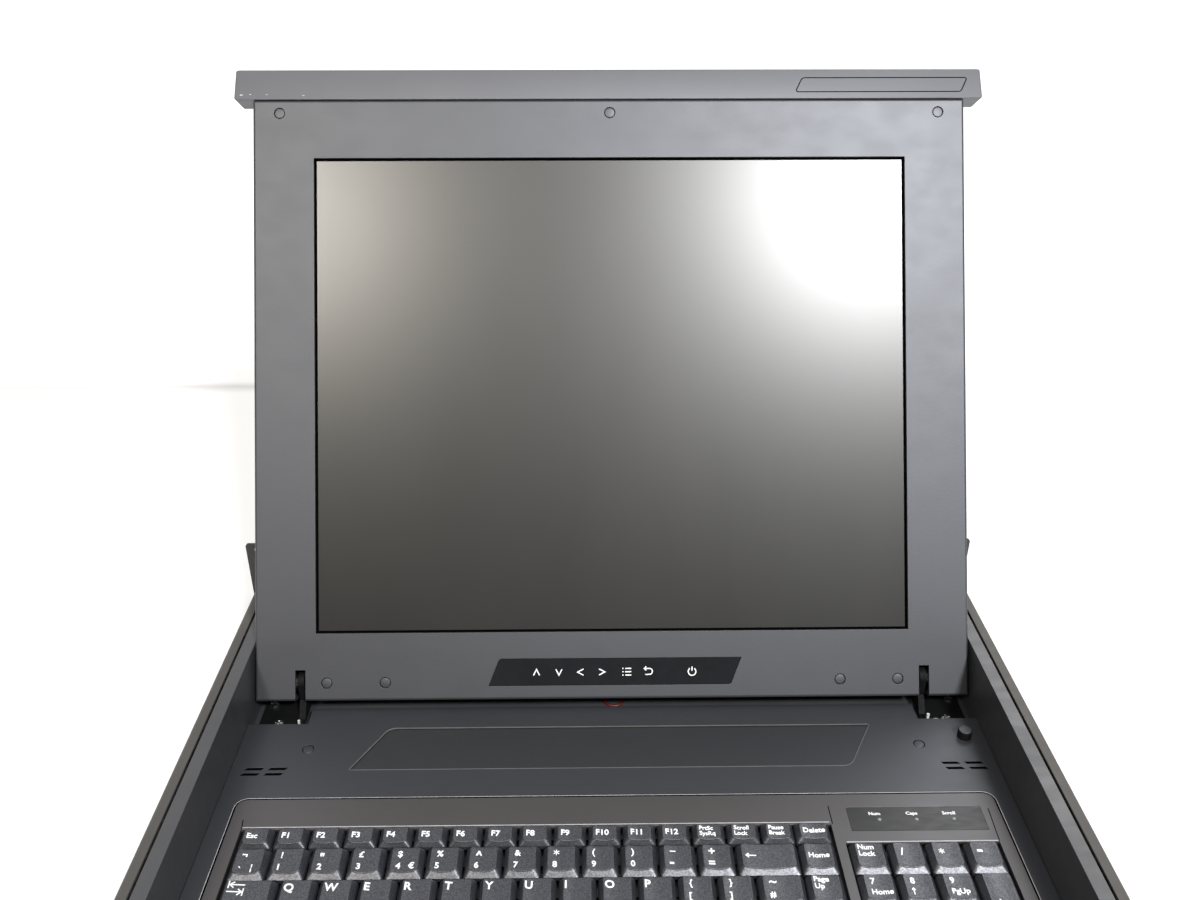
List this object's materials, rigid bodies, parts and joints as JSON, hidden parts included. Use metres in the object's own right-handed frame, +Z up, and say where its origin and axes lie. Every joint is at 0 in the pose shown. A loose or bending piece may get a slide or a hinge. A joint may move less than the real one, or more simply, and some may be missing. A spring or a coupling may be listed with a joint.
{
  "type": "rackmount lcd console drawer",
  "caption": "One-unit rack console drawer: slide-out tray with compact keyboard and touchpad, flat screen in a fold-up lid, in a case with rack ears.",
  "frame": {"origin": "centre of the case's underside", "axes": "+X to the operator's right, +Y towards the rear of the rack, +Z up"},
  "size_m": [0.4826, 0.5216, 0.3354],
  "materials": {
    "case_pan": "smooth grey paint",
    "case_screws": "zinc plated",
    "deck_caps": "fine-textured charcoal moulding",
    "deck_cover": "fine-textured charcoal moulding",
    "drawer_screws": "zinc plated",
    "drawer_tray": "satin charcoal paint",
    "front_ear_left": "fine-textured charcoal powder coat",
    "front_ear_right": "fine-textured charcoal powder coat",
    "function_keys": "fine-textured charcoal moulding",
    "hinge_bracket_left": "zinc plated",
    "hinge_bracket_right": "zinc plated",
    "hinge_friction_stacks": "zinc plated",
    "hinge_shafts": "zinc plated",
    "home_letter_keys": "fine-textured charcoal moulding",
    "inner_ball_cages": "zinc plated",
    "key_contact_sheet": "plain silicone rubber",
    "keyboard_back_plate": "zinc plated",
    "keyboard_frame": "fine-textured charcoal moulding",
    "lamp_window": "semi-gloss",
    "lid_back": "fine-textured charcoal powder coat",
    "lid_beam": "fine-textured moulding",
    "lid_bezel": "fine-textured charcoal moulding",
    "lid_boards": "green solder mask",
    "lid_caps": "fine-textured charcoal moulding",
    "lid_rails": "zinc plated",
    "lid_switch": "fine-textured charcoal moulding",
    "lid_switch_plunger": "fine-textured charcoal moulding",
    "lower_letter_keys": "fine-textured charcoal moulding",
    "main_board": "green solder mask",
    "menu_strip": "glossy",
    "modifier_keys": "fine-textured charcoal moulding",
    "navigation_keys": "fine-textured charcoal moulding",
    "number_keys": "fine-textured charcoal moulding",
    "numpad_keys": "fine-textured charcoal moulding",
    "outer_ball_cages": "zinc plated",
    "power_inlet": "plain moulding",
    "power_supply": "plain folded sheet",
    "rear_bracket_left": "fine-textured charcoal powder coat",
    "rear_bracket_right": "fine-textured charcoal powder coat",
    "rear_cover": "fine-textured charcoal powder coat",
    "rear_panel": "fine-textured charcoal powder coat",
    "screen_glass": "semi-matt screen surface",
    "screen_panel": "thin zinc-plated frame round a plastic panel",
    "slide_inner_left": "zinc plated",
    "slide_inner_right": "zinc plated",
    "slide_middle_left": "zinc plated",
    "slide_middle_right": "zinc plated",
    "slide_outer_left": "zinc plated",
    "slide_outer_right": "zinc plated",
    "space_bar": "fine-textured charcoal moulding",
    "status_lamps": "clear green tint, unlit",
    "touchpad_board": "green solder mask",
    "touchpad_button_left": "fine-textured charcoal moulding",
    "touchpad_button_right": "fine-textured charcoal moulding",
    "touchpad_surface": "semi-matt",
    "upper_letter_keys": "fine-textured charcoal moulding",
    "usb_port": "zinc plated",
    "video_port": "zinc plated",
    "wire_loom": "red insulation"
  },
  "bodies": {
    "case": {"case_pan": "case_pan", "front_ear_left": "front_ear_left", "front_ear_right": "front_ear_right", "case_screws": "case_screws", "slide_outer_left": "slide_outer_left", "slide_outer_right": "slide_outer_right"},
    "slide_middles": {"slide_middle_left": "slide_middle_left", "slide_middle_right": "slide_middle_right"},
    "outer_cages": {"outer_ball_cages": "outer_ball_cages"},
    "inner_cages": {"inner_ball_cages": "inner_ball_cages"},
    "lid": {"lid_bezel": "lid_bezel", "lid_back": "lid_back", "lid_caps": "lid_caps", "lid_beam": "lid_beam", "screen_glass": "screen_glass", "screen_panel": "screen_panel", "lid_boards": "lid_boards", "menu_strip": "menu_strip", "lid_rails": "lid_rails", "hinge_shafts": "hinge_shafts", "hinge_friction_stacks": "hinge_friction_stacks"},
    "rear_bracket_left": {"rear_bracket_left": "rear_bracket_left"},
    "rear_bracket_right": {"rear_bracket_right": "rear_bracket_right"},
    "touchpad_button_left": {"touchpad_button_left": "touchpad_button_left"},
    "touchpad_button_right": {"touchpad_button_right": "touchpad_button_right"},
    "lid_switch_plunger": {"lid_switch_plunger": "lid_switch_plunger"},
    "function_keys": {"function_keys": "function_keys"},
    "number_keys": {"number_keys": "number_keys"},
    "upper_letter_keys": {"upper_letter_keys": "upper_letter_keys"},
    "home_letter_keys": {"home_letter_keys": "home_letter_keys"},
    "lower_letter_keys": {"lower_letter_keys": "lower_letter_keys"},
    "modifier_keys": {"modifier_keys": "modifier_keys"},
    "space_bar": {"space_bar": "space_bar"},
    "navigation_keys": {"navigation_keys": "navigation_keys"},
    "numpad_keys": {"numpad_keys": "numpad_keys"},
    "drawer": {"deck_caps": "deck_caps", "deck_cover": "deck_cover", "drawer_screws": "drawer_screws", "drawer_tray": "drawer_tray", "hinge_bracket_left": "hinge_bracket_left", "hinge_bracket_right": "hinge_bracket_right", "key_contact_sheet": "key_contact_sheet", "keyboard_back_plate": "keyboard_back_plate", "keyboard_frame": "keyboard_frame", "lamp_window": "lamp_window", "lid_switch": "lid_switch", "main_board": "main_board", "power_inlet": "power_inlet", "power_supply": "power_supply", "rear_cover": "rear_cover", "rear_panel": "rear_panel", "slide_inner_left": "slide_inner_left", "slide_inner_right": "slide_inner_right", "status_lamps": "status_lamps", "touchpad_board": "touchpad_board", "touchpad_surface": "touchpad_surface", "usb_port": "usb_port", "video_port": "video_port", "wire_loom": "wire_loom"}
  },
  "joints": [
    {"name": "drawer_slide", "type": "slide", "parent": "case", "child": "drawer", "axis": [0, -1, 0], "range_m": [0, 0.42]},
    {"name": "slide_middle_run", "type": "slide", "parent": "case", "child": "slide_middles", "axis": [0, -1, 0], "range_m": [0, 0.21]},
    {"name": "outer_cage_run", "type": "slide", "parent": "case", "child": "outer_cages", "axis": [0, -1, 0], "range_m": [0, 0.105]},
    {"name": "inner_cage_run", "type": "slide", "parent": "case", "child": "inner_cages", "axis": [0, -1, 0], "range_m": [0, 0.315]},
    {"name": "lid_hinge", "type": "hinge", "parent": "drawer", "child": "lid", "pos_m": [0, 0.0979, 0.0235], "axis": [1, 0, 0], "range_deg": [0, 118.3]},
    {"name": "rear_bracket_left_slide", "type": "slide", "parent": "case", "child": "rear_bracket_left", "axis": [0, 1, 0], "range_m": [0, 0.2]},
    {"name": "rear_bracket_right_slide", "type": "slide", "parent": "case", "child": "rear_bracket_right", "axis": [0, 1, 0], "range_m": [0, 0.2]},
    {"name": "plunger_press", "type": "slide", "parent": "drawer", "child": "lid_switch_plunger", "axis": [0, 0, 1], "range_m": [-0.0025, 0], "stiffness_N_per_m": 300, "springref_m": 0.002},
    {"name": "touchpad_button_left_press", "type": "slide", "parent": "drawer", "child": "touchpad_button_left", "axis": [0, 0, 1], "range_m": [-0.0008, 0], "stiffness_N_per_m": 800, "springref_m": 0.001},
    {"name": "touchpad_button_right_press", "type": "slide", "parent": "drawer", "child": "touchpad_button_right", "axis": [0, 0, 1], "range_m": [-0.0008, 0], "stiffness_N_per_m": 800, "springref_m": 0.001},
    {"name": "function_keys_press", "type": "slide", "parent": "drawer", "child": "function_keys", "axis": [0, 0, 1], "range_m": [-0.002, 0], "stiffness_N_per_m": 400, "springref_m": 0.0025},
    {"name": "number_keys_press", "type": "slide", "parent": "drawer", "child": "number_keys", "axis": [0, 0, 1], "range_m": [-0.002, 0], "stiffness_N_per_m": 400, "springref_m": 0.0025},
    {"name": "upper_letter_keys_press", "type": "slide", "parent": "drawer", "child": "upper_letter_keys", "axis": [0, 0, 1], "range_m": [-0.002, 0], "stiffness_N_per_m": 400, "springref_m": 0.0025},
    {"name": "home_letter_keys_press", "type": "slide", "parent": "drawer", "child": "home_letter_keys", "axis": [0, 0, 1], "range_m": [-0.002, 0], "stiffness_N_per_m": 400, "springref_m": 0.0025},
    {"name": "lower_letter_keys_press", "type": "slide", "parent": "drawer", "child": "lower_letter_keys", "axis": [0, 0, 1], "range_m": [-0.002, 0], "stiffness_N_per_m": 400, "springref_m": 0.0025},
    {"name": "modifier_keys_press", "type": "slide", "parent": "drawer", "child": "modifier_keys", "axis": [0, 0, 1], "range_m": [-0.002, 0], "stiffness_N_per_m": 400, "springref_m": 0.0025},
    {"name": "space_bar_press", "type": "slide", "parent": "drawer", "child": "space_bar", "axis": [0, 0, 1], "range_m": [-0.002, 0], "stiffness_N_per_m": 400, "springref_m": 0.0025},
    {"name": "navigation_keys_press", "type": "slide", "parent": "drawer", "child": "navigation_keys", "axis": [0, 0, 1], "range_m": [-0.002, 0], "stiffness_N_per_m": 400, "springref_m": 0.0025},
    {"name": "numpad_keys_press", "type": "slide", "parent": "drawer", "child": "numpad_keys", "axis": [0, 0, 1], "range_m": [-0.002, 0], "stiffness_N_per_m": 400, "springref_m": 0.0025}
  ],
  "couplings": [
    {"joint": "slide_middle_run", "follows": "drawer_slide", "ratio": 0.5},
    {"joint": "outer_cage_run", "follows": "drawer_slide", "ratio": 0.25},
    {"joint": "inner_cage_run", "follows": "drawer_slide", "ratio": 0.75}
  ]
}
